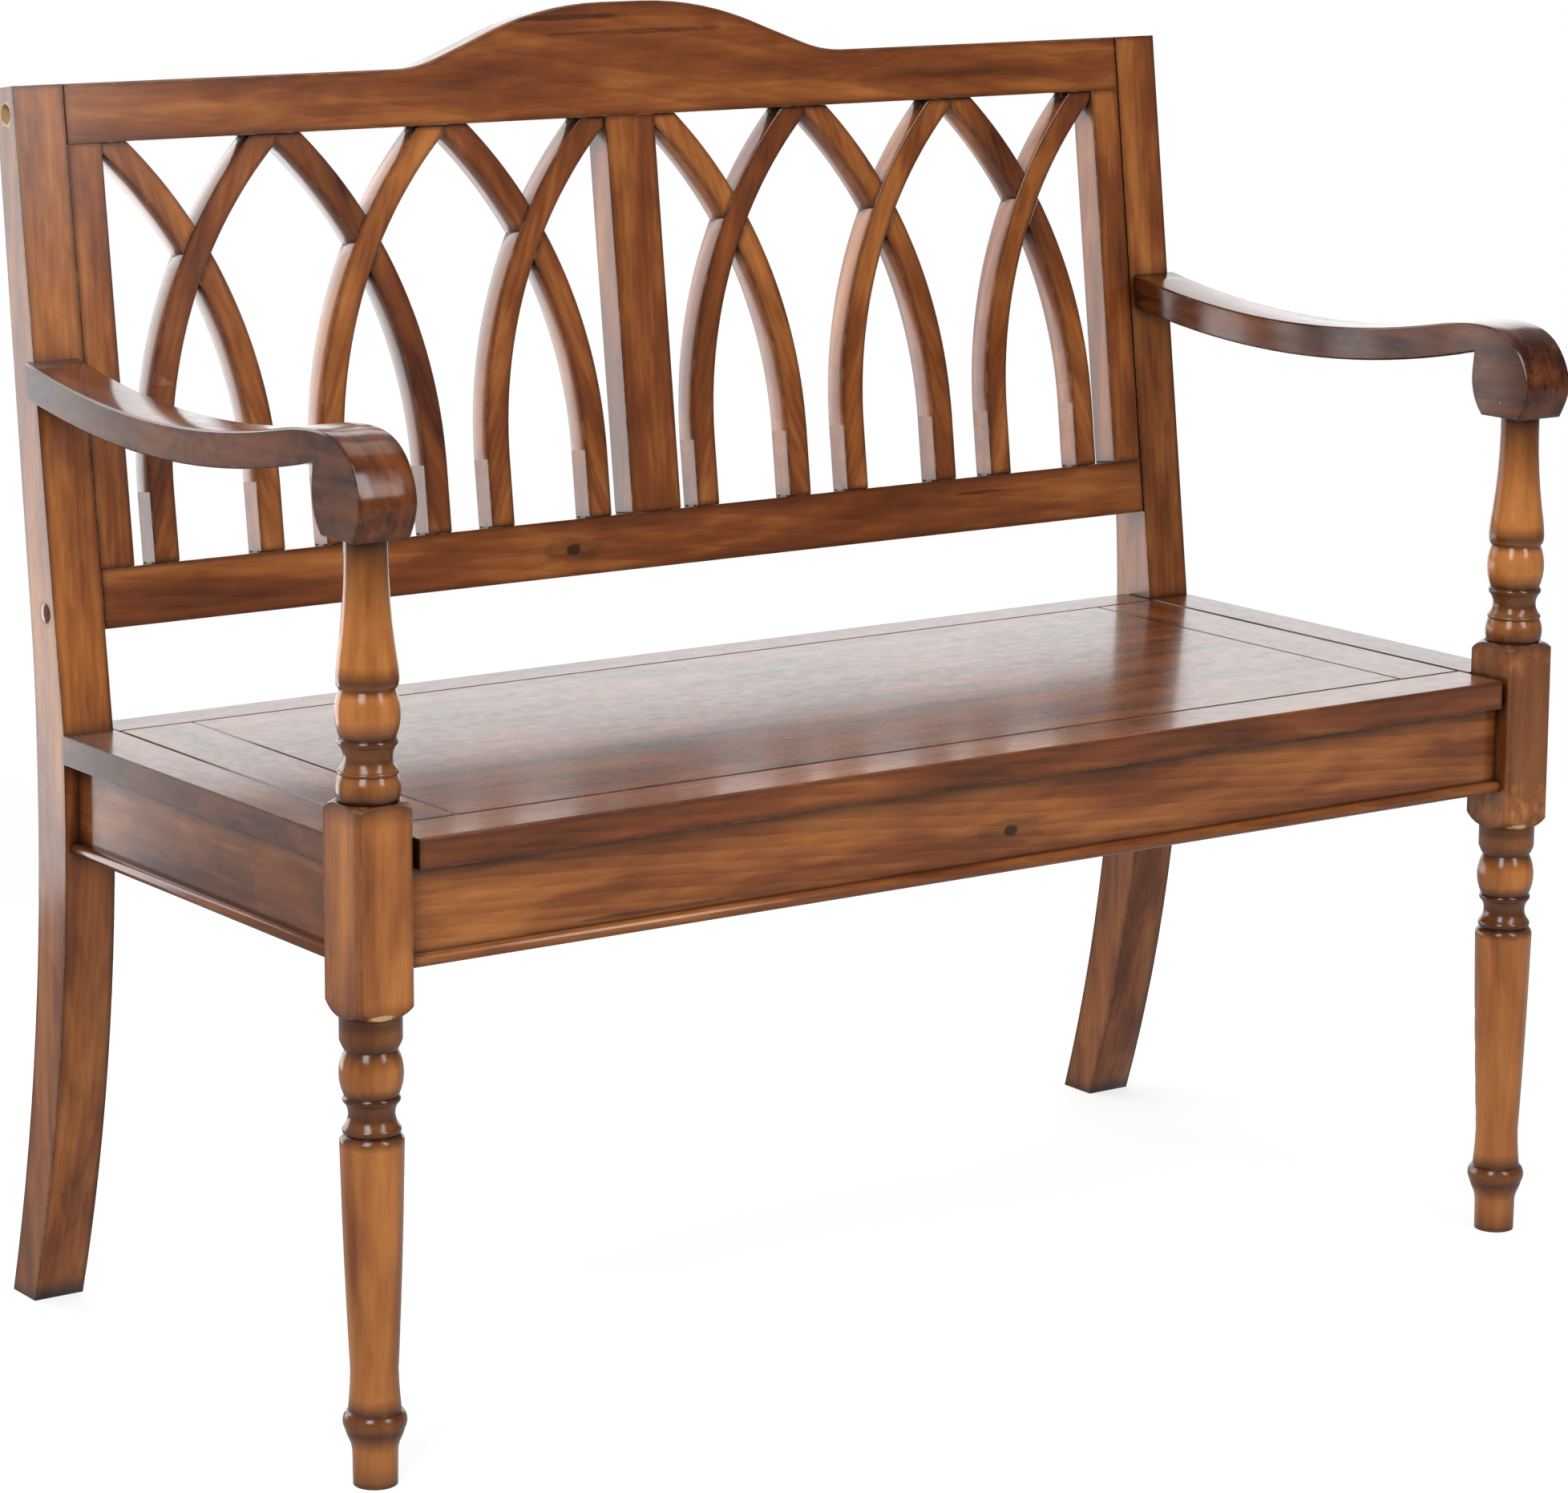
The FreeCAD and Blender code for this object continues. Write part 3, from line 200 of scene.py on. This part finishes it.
def stained_cherry(name, grain, seed, depth=0.0, rough=0.2, rings=0.06, glaze=1.0, wax=0.0, shade_and_pool=1.0,
                   bands=(), marks=()):
    """Stained cherry, glazed and sprayed with a gloss lacquer.

    To the eye: orange-brown in the middle of each piece, near black along its edges from the glaze
    and in its seams and hollows from pooled stain and painted shade, with a rubbed pale line along some
    arrises, cloudy streaks along the grain, and a clear shine that ripples a little. depth darkens the
    tone, and shade_and_pool widens the painted shade and pooled stain in hollows.
    A band of dark glaze is (height, reach) and a mark is (colour, strength, centre, radii).
    """
    wood = bpy.context.scene.bench_wood
    material, tree = new_material(name)
    place = add(tree, "TexCoord", {}).outputs["Object"]
    figure = grained(tree, place, grain, seed, wood.figure_long, wood.figure_wide, 3.0, 0.3)
    streak = grained(tree, place, grain, seed + 3, wood.streak_long, wood.streak_wide, 3.0, 0.3)
    pores = grained(tree, place, grain, seed + 5, wood.pore_long, wood.pore_wide, 2.0)
    cloud = grained(tree, place, grain, seed + 7, 4.5 * wood.blotch, wood.blotch, 3.0, 0.25)
    patch = grained(tree, place, grain, seed + 9, 0.4 * wood.blotch, 0.25 * wood.blotch, 5.0)
    ring = growth_rings(tree, place, grain, seed, wood.ring_gap)

    # Tone of the stain, from 0 for the darkest streak to 1 for the palest. Each pattern has its share.
    tone = add(tree, "Math", {0: figure, 1: 0.55, 2: 0.10 - depth}, operation="MULTIPLY_ADD").outputs[0]
    tone = add(tree, "Math", {0: cloud, 1: 1.00, 2: tone}, operation="MULTIPLY_ADD").outputs[0]
    tone = add(tree, "Math", {0: streak, 1: 0.13, 2: tone}, operation="MULTIPLY_ADD").outputs[0]
    tone = add(tree, "Math", {0: ring, 1: -rings, 2: tone}, operation="MULTIPLY_ADD").outputs[0]
    tone = add(tree, "MapRange", {0: tone, 1: 0.48, 2: 1.28}).outputs[0]
    colour = add(tree, "ValToRGB", {0: tone}, stops=(
        (0.0, linear(wood.late_wood)), (0.5, linear(wood.mid_wood)),
        (1.0, linear(wood.light_wood)))).outputs[0]
    colour = overlaid(tree, colour, wood.late_wood, pores, 0.58, 0.74, 0.30)

    # Dark glaze along the arrises, pooled stain and painted shade in seams and hollows, and glaze in bands
    # round a turning
    flat = add(tree, "NewGeometry", {}).outputs["Normal"]
    broad = add(tree, "Bevel", {"Radius": wood.glaze_reach}, samples=4).outputs[0]
    broad = add(tree, "VectorMath", {0: flat, 1: broad}, operation="DOT_PRODUCT").outputs["Value"]
    near = add(tree, "Math", {0: 1.0, 1: broad}, operation="SUBTRACT").outputs[0]
    uneven = add(tree, "MapRange", {0: cloud, 1: 0.35, 2: 0.62, 3: 0.55, 4: 1.0}).outputs[0]
    near = add(tree, "Math", {0: near, 1: uneven}, operation="MULTIPLY").outputs[0]
    colour = overlaid(tree, colour, wood.late_wood, near, 0.0, 0.14, 0.9 * glaze)
    # Painted shade and pooled stain: ambient occlusion darkens seams and hollows towards the dark stain
    open_air = add(tree, "AmbientOcclusion", {"Distance": shade_and_pool * wood.seam_reach}, samples=8).outputs["AO"]
    colour = overlaid(tree, colour, wood.dark_stain_and_shade, open_air, 0.93, 0.30, 0.93)
    level = add(tree, "SeparateXYZ", {0: place}).outputs["Z"]
    level = add(tree, "Math", {0: patch, 1: BAND_WANDER, 2: level}, operation="MULTIPLY_ADD").outputs[0]
    for band, reach in bands:
        far = add(tree, "Math", {0: level, 1: band + BAND_WANDER / 2.0}, operation="SUBTRACT").outputs[0]
        far = add(tree, "Math", {0: far}, operation="ABSOLUTE").outputs[0]
        colour = overlaid(tree, colour, wood.late_wood, far, 2.2 * reach, 0.1 * reach, 0.8)

    # Wax left in corners, and stain rubbed off the arrises
    corner = add(tree, "MapRange", {0: open_air, 1: 0.45, 2: 0.72, 3: 1.0, 4: 0.0}).outputs[0]
    flecks = add(tree, "MapRange", {0: patch, 1: 0.56, 2: 0.66}).outputs[0]
    caught = add(tree, "Math", {0: corner, 1: flecks}, operation="MULTIPLY").outputs[0]
    colour = overlaid(tree, colour, wood.wax, caught, 0.0, 1.0, 0.8 * wax)
    narrow = add(tree, "Bevel", {"Radius": wood.wear_wide}, samples=4).outputs[0]
    narrow = add(tree, "VectorMath", {0: flat, 1: narrow}, operation="DOT_PRODUCT").outputs["Value"]
    arris = add(tree, "MapRange", {0: narrow, 1: 0.90, 2: 0.985, 3: 1.0, 4: 0.0}).outputs[0]
    outer = add(tree, "MapRange", {0: open_air, 1: 0.75, 2: 0.97}).outputs[0]
    arris = add(tree, "Math", {0: arris, 1: outer}, operation="MULTIPLY").outputs[0]
    colour = overlaid(tree, colour, wood.dark_stain_and_shade, arris, 0.0, 1.0, 0.55)
    rubbed = add(tree, "MapRange", {0: patch, 1: 0.50, 2: 0.62}).outputs[0]
    rubbed = add(tree, "Math", {0: arris, 1: rubbed}, operation="MULTIPLY").outputs[0]
    colour = overlaid(tree, colour, wood.worn_arris, rubbed, 0.0, 1.0, 0.7)
    for hexa, strength, centre, radii in marks:
        mask = blot(tree, place, centre, radii, patch)
        colour = overlaid(tree, colour, hexa, mask, 0.0, 1.0, strength)

    # Lacquer: duller over the glaze, with the ripple of a sprayed coat and the grain telegraphing
    dull = add(tree, "MapRange", {0: patch, 1: 0.3, 2: 0.7, 3: rough - 0.04, 4: rough + 0.07}).outputs[0]
    ripple = grained(tree, place, grain, seed + 11, 0.03, 0.011, 1.0)
    height = add(tree, "Math", {0: streak, 1: 0.30, 2: ripple}, operation="MULTIPLY_ADD").outputs[0]
    height = add(tree, "Math", {0: pores, 1: 0.10, 2: height}, operation="MULTIPLY_ADD").outputs[0]
    bump = add(tree, "Bump", {"Height": height, "Strength": 0.13, "Distance": 0.0005}).outputs[0]
    shader = add(tree, "BsdfPrincipled", {
        "Base Color": colour, "Roughness": dull, "IOR": 1.5, "Coat Weight": 0.45, "Coat Roughness": 0.13,
        "Normal": bump})
    add(tree, "OutputMaterial", {"Surface": shader.outputs[0]})
    return material


def bare_hardwood(name, grain, seed):
    """Planed hardwood left without finish, under the seat.

    To the eye: dull, pale tan, with short brown flecks along the grain.
    """
    wood = bpy.context.scene.bench_wood
    material, tree = new_material(name)
    place = add(tree, "TexCoord", {}).outputs["Object"]
    figure = grained(tree, place, grain, seed, wood.figure_long, wood.figure_wide, 6.0)
    fleck = grained(tree, place, grain, seed + 2, wood.pore_long, wood.pore_wide, 2.0)
    colour = add(tree, "ValToRGB", {0: figure}, stops=(
        (0.3, linear("#8C6A45")), (0.7, linear(wood.bare_wood)))).outputs[0]
    colour = overlaid(tree, colour, "#6E4F30", fleck, 0.58, 0.72, 0.6)
    bump = add(tree, "Bump", {"Height": fleck, "Strength": 0.4, "Distance": 0.0003}).outputs[0]
    shader = add(tree, "BsdfPrincipled", {"Base Color": colour, "Roughness": 0.7, "Normal": bump})
    add(tree, "OutputMaterial", {"Surface": shader.outputs[0]})
    return material


def zinc_steel(name):
    """Zinc-plated steel, barrel finished.

    To the eye: grey with a faint yellow cast, and a soft broken shine.
    """
    material, tree = new_material(name)
    place = add(tree, "TexCoord", {}).outputs["Object"]
    cloud = grained(tree, place, "X", 1, 0.003, 0.003, 4.0)
    colour = add(tree, "ValToRGB", {0: cloud}, stops=(
        (0.35, linear("#8B8878")), (0.65, linear("#C2BFB2")))).outputs[0]
    rough = add(tree, "MapRange", {0: cloud, 1: 0.3, 2: 0.7, 3: 0.28, 4: 0.5}).outputs[0]
    shader = add(tree, "BsdfPrincipled", {"Base Color": colour, "Roughness": rough, "Metallic": 1.0})
    add(tree, "OutputMaterial", {"Surface": shader.outputs[0]})
    return material


def dress(name, material, ease=True):
    """Gives a frame node its finish, and sands its arrises."""
    piece = NODES[name]
    for slot in piece.material_slots:
        slot.material = material
    if not piece.material_slots:
        piece.data.materials.append(material)
    if ease:
        weld = piece.modifiers.new("joined_faces", "WELD")
        weld.merge_threshold = 1e-6
        bevel = piece.modifiers.new("sanded_arris", "BEVEL")
        bevel.width = bpy.context.scene.bench_wood.arris_round
        bevel.segments = 2
        bevel.limit_method = "ANGLE"
        bevel.angle_limit = math.radians(40.0)
        bevel.use_clamp_overlap = True


# Heights of the dark glaze round a turned post, and how far up and down each reaches, in metres
GLAZED = ((0.675, 0.026), (0.577, 0.005), (0.5365, 0.006), (0.522, 0.009), (0.4945, 0.008),
          (0.336, 0.008), (0.3175, 0.006), (0.2825, 0.004), (0.2695, 0.010), (0.2555, 0.004),
          (0.0545, 0.005), (0.040, 0.006))

# Marks on the wood: colour, strength, centre and radii in metres. The rear post's is the
# bare wood in the hole that has lost its plug. The dark patch on the right front post's block is
# painted shade.
CRACK = "#120704"
CHIP = "#D6AE7C"
KNOT = "#1D0B05"
PAINTED_SHADE_BLOCK = "#5A2C14"
MARKS = {
    "rear_post_left": [(CHIP, 1.0, (-0.5495, 0.2479, 0.9283), (0.030, 0.0090, 0.0090))],
    "front_post_left": [(CHIP, 0.9, (-0.5400, -0.2740, 0.3430), (0.011, 0.006, 0.0022))],
    # Painted shade darkening the right front post's block
    "front_post_right": [(PAINTED_SHADE_BLOCK, 0.6, (0.5400, -0.2500, 0.4200), (0.05, 0.05, 0.085)),
                         (CHIP, 0.9, (0.5230, -0.2740, 0.3430), (0.009, 0.006, 0.0022))],
    "crest_rail": [(CRACK, 0.55, (-0.060, 0.235, 0.985), (0.060, 0.03, 0.0026)),
                   (CRACK, 0.45, (0.015, 0.235, 0.972), (0.085, 0.03, 0.0022))],
    "back_bottom_rail": [(KNOT, 0.8, (-0.083, 0.190, 0.562), (0.0075, 0.02, 0.0045)),
                         (KNOT, 0.35, (-0.083, 0.190, 0.562), (0.030, 0.02, 0.0095)),
                         (CRACK, 0.5, (0.330, 0.190, 0.573), (0.030, 0.02, 0.0014))],
    "front_apron": [(KNOT, 0.85, (0.018, -0.2615, 0.402), (0.0065, 0.02, 0.0045)),
                    (KNOT, 0.35, (0.018, -0.2615, 0.402), (0.034, 0.02, 0.0100)),
                    (CRACK, 0.5, (-0.300, -0.2615, 0.385), (0.070, 0.02, 0.0016))],
}


class BENCH_OT_front_posts(bpy.types.Operator):
    """Finishes the two turned front posts"""

    bl_idname = "bench.front_posts"
    bl_label = "Front posts"

    def execute(self, context):
        for seed, name in ((11, "front_post_left"), (17, "front_post_right")):
            finish = stained_cherry("lacquered_cherry_" + name, "Z", seed, -0.18, rough=0.20, rings=0.0,
                                    glaze=0.8, shade_and_pool=1.6, bands=GLAZED, marks=MARKS[name])
            dress(name, finish, ease=False)
        return {"FINISHED"}


class BENCH_OT_rear_posts(bpy.types.Operator):
    """Finishes the two sawn rear posts, with bare wood in the hole that has lost its plug"""

    bl_idname = "bench.rear_posts"
    bl_label = "Rear posts"

    def execute(self, context):
        for seed, name in ((23, "rear_post_left"), (29, "rear_post_right")):
            dress(name, stained_cherry("lacquered_cherry_" + name, "Z", seed, -0.06,
                                       marks=MARKS.get(name, ())))
        return {"FINISHED"}


class BENCH_OT_back_frame(bpy.types.Operator):
    """Finishes the crest rail, the bottom rail and the stiles"""

    bl_idname = "bench.back_frame"
    bl_label = "Back frame"

    def execute(self, context):
        for seed, name in ((31, "crest_rail"), (37, "back_bottom_rail")):
            dress(name, stained_cherry("lacquered_cherry_" + name, "X", seed, 0.04, wax=0.6,
                                       marks=MARKS[name]))
        for seed, name in ((39, "back_stile_left"), (41, "back_stile_right"), (44, "back_centre_stile")):
            dress(name, stained_cherry("lacquered_cherry_" + name, "Z", seed, 0.0, wax=0.6))
        return {"FINISHED"}


class BENCH_OT_lattice(bpy.types.Operator):
    """Finishes the curved slats, each cut from its own board"""

    bl_idname = "bench.lattice"
    bl_label = "Lattice"

    def execute(self, context):
        for number in range(1, 7):
            tone = 0.07 * math.sin(2.1 * number)
            for seed, lean in ((50 + number, "rising"), (70 + number, "falling")):
                name = "lattice_slat_%s_%d" % (lean, number)
                depth = tone if lean == "rising" else 0.02 - tone
                dress(name, stained_cherry("lacquered_cherry_" + name, lean, seed, depth, wax=1.0))
        return {"FINISHED"}


class BENCH_OT_arms(bpy.types.Operator):
    """Finishes the two scrolled arms"""

    bl_idname = "bench.arms"
    bl_label = "Arms"

    def execute(self, context):
        for seed, name in ((43, "arm_left"), (47, "arm_right")):
            dress(name, stained_cherry("lacquered_cherry_" + name, "Y", seed, 0.28, rough=0.18))
        return {"FINISHED"}


class BENCH_OT_seat(bpy.types.Operator):
    """Finishes the seat boards, darker than the frame and rubbed to a satin by use"""

    bl_idname = "bench.seat"
    bl_label = "Seat"

    def execute(self, context):
        for seed, name, depth in ((81, "seat_front_rail", 0.10), (82, "seat_rear_rail", 0.24),
                                  (83, "seat_panel", 0.24)):
            dress(name, stained_cherry("lacquered_cherry_" + name, "X", seed, depth, rough=0.26,
                                       rings=0.10))
        for seed, name in enumerate(("seat_end_board_left", "seat_end_board_right", "seat_side_strip_left",
                                     "seat_side_strip_right"), start=91):
            dress(name, stained_cherry("lacquered_cherry_" + name, "Y", seed, 0.24, rough=0.26, rings=0.10))
        return {"FINISHED"}


class BENCH_OT_aprons(bpy.types.Operator):
    """Finishes the aprons and their beads"""

    bl_idname = "bench.aprons"
    bl_label = "Aprons"

    def execute(self, context):
        for seed, name in enumerate(("front_apron", "rear_apron", "front_bead"), start=101):
            dress(name, stained_cherry("lacquered_cherry_" + name, "X", seed, -0.08, rings=0.10,
                                       marks=MARKS.get(name, ())))
        for seed, name in enumerate(("side_apron_left", "side_apron_right", "side_bead_left",
                                     "side_bead_right"), start=111):
            dress(name, stained_cherry("lacquered_cherry_" + name, "Y", seed, 0.08, rings=0.10))
        return {"FINISHED"}


class BENCH_OT_underside(bpy.types.Operator):
    """Finishes the unstained pieces under the seat"""

    bl_idname = "bench.underside"
    bl_label = "Underside"

    def execute(self, context):
        for seed, grain, name in ((5, "Y", "seat_cross_rail"), (7, "Z", "corner_blocks"),
                                  (9, "Y", "seat_cleat_left"), (13, "Y", "seat_cleat_right")):
            dress(name, bare_hardwood("planed_hardwood_" + name, grain, seed))
        return {"FINISHED"}


class BENCH_OT_fixings(bpy.types.Operator):
    """Finishes the bolts, screws and pins, and the turned plugs that hide the bolts"""

    bl_idname = "bench.fixings"
    bl_label = "Fixings"

    def execute(self, context):
        steel = zinc_steel("zinc_plated_steel")
        for name in ("frame_bolts", "barrel_nuts", "arm_screws", "arm_pins", "seat_screws", "cleat_screws",
                     "hanger_bolts"):
            dress(name, steel, ease=False)
        dress("button_plugs", stained_cherry("lacquered_cherry_plugs", "Z", 121, 0.02), ease=False)
        return {"FINISHED"}


def soft_box(name, place, aim, wide, high, strength):
    """A rectangular lamp that faces a point; strength is the brightness of its face."""
    data = bpy.data.lights.new(name, "AREA")
    data.shape = "RECTANGLE"
    data.size = wide
    data.size_y = high
    data.energy = strength * wide * high * math.pi
    lamp = bpy.data.objects.new(name, data)
    bpy.context.scene.collection.objects.link(lamp)
    lamp.location = place
    lamp.rotation_euler = (Vector(aim) - Vector(place)).to_track_quat("-Z", "Y").to_euler()
    lamp.visible_camera = False


class BENCH_OT_stage(bpy.types.Operator):
    """Builds the floor, the surroundings, the lamps and the camera"""

    bl_idname = "bench.stage"
    bl_label = "Stage"

    def execute(self, context):
        stage = context.scene.bench_stage
        self.floor(stage)
        self.surroundings(stage)
        centre = (0.0, 0.0, 0.5)
        soft_box("soft_box_left", (-2.10, -1.50, 2.20), centre, 1.0, 2.1, 5.6)
        soft_box("soft_box_right", (0.60, -2.60, 2.20), centre, 0.8, 2.1, 4.8)
        soft_box("soft_box_top", (0.0, 0.3, 3.2), centre, 2.4, 1.6, 0.9)
        # Two sheets of the white backdrop, which show in the lacquer and not to the camera
        soft_box("backdrop_left", (-0.67, 1.45, 1.0), (-0.67, 0.0, 1.0), 1.14, 2.0, 2.2)
        soft_box("backdrop_right", (1.35, 1.45, 1.0), (1.35, 0.0, 1.0), 2.9, 2.0, 1.15)
        self.camera(stage)
        return {"FINISHED"}

    def floor(self, stage):
        """A white floor that keeps the bench's soft shadow, and is plain white further off.

        Reflections in the lacquer see it dimmer, as the photograph's do.
        """
        half = stage.floor_half
        mesh = bpy.data.meshes.new("studio_floor")
        mesh.from_pydata([(-half, -half, 0), (half, -half, 0), (half, half, 0), (-half, half, 0)], [],
                         [(0, 1, 2, 3)])
        ground = bpy.data.objects.new("studio_floor", mesh)
        bpy.context.scene.collection.objects.link(ground)
        material, tree = new_material("matt_paper_floor")
        place = add(tree, "TexCoord", {}).outputs["Object"]
        far = add(tree, "VectorMath", {0: place}, operation="LENGTH").outputs["Value"]
        away = add(tree, "MapRange", {0: far, 1: 0.9, 2: 2.4}, interpolation_type="SMOOTHSTEP").outputs[0]
        white = linear(stage.backdrop)
        paper = add(tree, "BsdfDiffuse", {"Color": (0.36, 0.36, 0.36, 1.0)}).outputs[0]
        lift = add(tree, "Emission", {"Color": white, "Strength": 0.76}).outputs[0]
        near = add(tree, "AddShader", {0: paper, 1: lift}).outputs[0]
        plain = add(tree, "Emission", {"Color": white, "Strength": 1.0}).outputs[0]
        seen = add(tree, "MixShader", {0: away, 1: near, 2: plain}).outputs[0]
        shine = add(tree, "Emission", {"Color": white, "Strength": 0.35}).outputs[0]
        bounce = add(tree, "BsdfDiffuse", {"Color": linear("#B9B6B2")}).outputs[0]
        path = add(tree, "LightPath", {})
        mirrored = add(tree, "Math", {0: path.outputs["Is Glossy Ray"],
                                      1: path.outputs["Is Transmission Ray"]}, operation="MAXIMUM")
        others = add(tree, "MixShader", {0: mirrored.outputs[0], 1: bounce, 2: shine}).outputs[0]
        look = add(tree, "MixShader", {0: path.outputs["Is Camera Ray"], 1: others, 2: seen}).outputs[0]
        add(tree, "OutputMaterial", {"Surface": look})
        mesh.materials.append(material)

    def surroundings(self, stage):
        """A white backdrop for the camera, and a dim studio for reflections, dimmest in front."""
        world = bpy.data.worlds.new("studio_room")
        bpy.context.scene.world = world
        world.use_nodes = True
        tree = world.node_tree
        tree.nodes.clear()
        white = linear(stage.backdrop)
        way = add(tree, "TexCoord", {}).outputs["Generated"]
        way = add(tree, "SeparateXYZ", {0: way})
        back = add(tree, "MapRange", {0: way.outputs["Y"], 1: -0.3, 2: 0.4, 3: 0.12, 4: 0.3},
                   interpolation_type="SMOOTHSTEP").outputs[0]
        light = add(tree, "Background", {"Color": white, "Strength": 0.42}).outputs[0]
        shine = add(tree, "Background", {"Color": white, "Strength": back}).outputs[0]
        seen = add(tree, "Background", {"Color": white, "Strength": 1.0}).outputs[0]
        path = add(tree, "LightPath", {})
        mirrored = add(tree, "Math", {0: path.outputs["Is Glossy Ray"],
                                      1: path.outputs["Is Transmission Ray"]}, operation="MAXIMUM")
        others = add(tree, "MixShader", {0: mirrored.outputs[0], 1: light, 2: shine}).outputs[0]
        look = add(tree, "MixShader", {0: path.outputs["Is Camera Ray"], 1: others, 2: seen}).outputs[0]
        add(tree, "OutputWorld", {"Surface": look})

    def camera(self, stage):
        """The photograph's viewpoint, worked out for an image of 1956 by 1863 pixels."""
        data = bpy.data.cameras.new("bench_camera")
        data.sensor_fit = "HORIZONTAL"
        data.sensor_width = 36.0
        data.lens = stage.lens
        data.shift_x, data.shift_y = stage.shift
        camera = bpy.data.objects.new("bench_camera", data)
        bpy.context.scene.collection.objects.link(camera)
        a, e, r = stage.azimuth, stage.elevation, stage.roll
        ahead = Vector((-math.sin(a) * math.cos(e), math.cos(a) * math.cos(e), -math.sin(e)))
        right = Vector((math.cos(a), math.sin(a), 0.0))
        up = right.cross(ahead)
        level_right = right * math.cos(r) + up * math.sin(r)
        level_up = up * math.cos(r) - right * math.sin(r)
        turn = Matrix((level_right, level_up, -ahead)).transposed()
        camera.matrix_world = Matrix.Translation(Vector(stage.eye)) @ turn.to_4x4()
        bpy.context.scene.camera = camera
        bpy.context.scene.view_settings.view_transform = "Standard"


class BENCH_PT_panel(bpy.types.Panel):
    """Lists the pieces of the bench and its stage"""

    bl_idname = "BENCH_PT_panel"
    bl_label = "Deacons bench"
    bl_space_type = "VIEW_3D"
    bl_region_type = "UI"
    bl_category = "Bench"

    def draw(self, context):
        for operator in OPERATORS:
            self.layout.operator(operator.bl_idname)


OPERATORS = (
    BENCH_OT_front_posts,
    BENCH_OT_rear_posts,
    BENCH_OT_back_frame,
    BENCH_OT_lattice,
    BENCH_OT_arms,
    BENCH_OT_seat,
    BENCH_OT_aprons,
    BENCH_OT_underside,
    BENCH_OT_fixings,
    BENCH_OT_stage,
)
CLASSES = (BenchWood, BenchStage, *OPERATORS, BENCH_PT_panel)


def register():
    for cls in CLASSES:
        bpy.utils.register_class(cls)
    bpy.types.Scene.bench_wood = bpy.props.PointerProperty(type=BenchWood)
    bpy.types.Scene.bench_stage = bpy.props.PointerProperty(type=BenchStage)


def unregister():
    del bpy.types.Scene.bench_stage
    del bpy.types.Scene.bench_wood
    for cls in reversed(CLASSES):
        bpy.utils.unregister_class(cls)


def main():
    register()
    for operator in OPERATORS:
        group, name = operator.bl_idname.split(".")
        getattr(getattr(bpy.ops, group), name)()


if __name__ == "__main__":
    main()
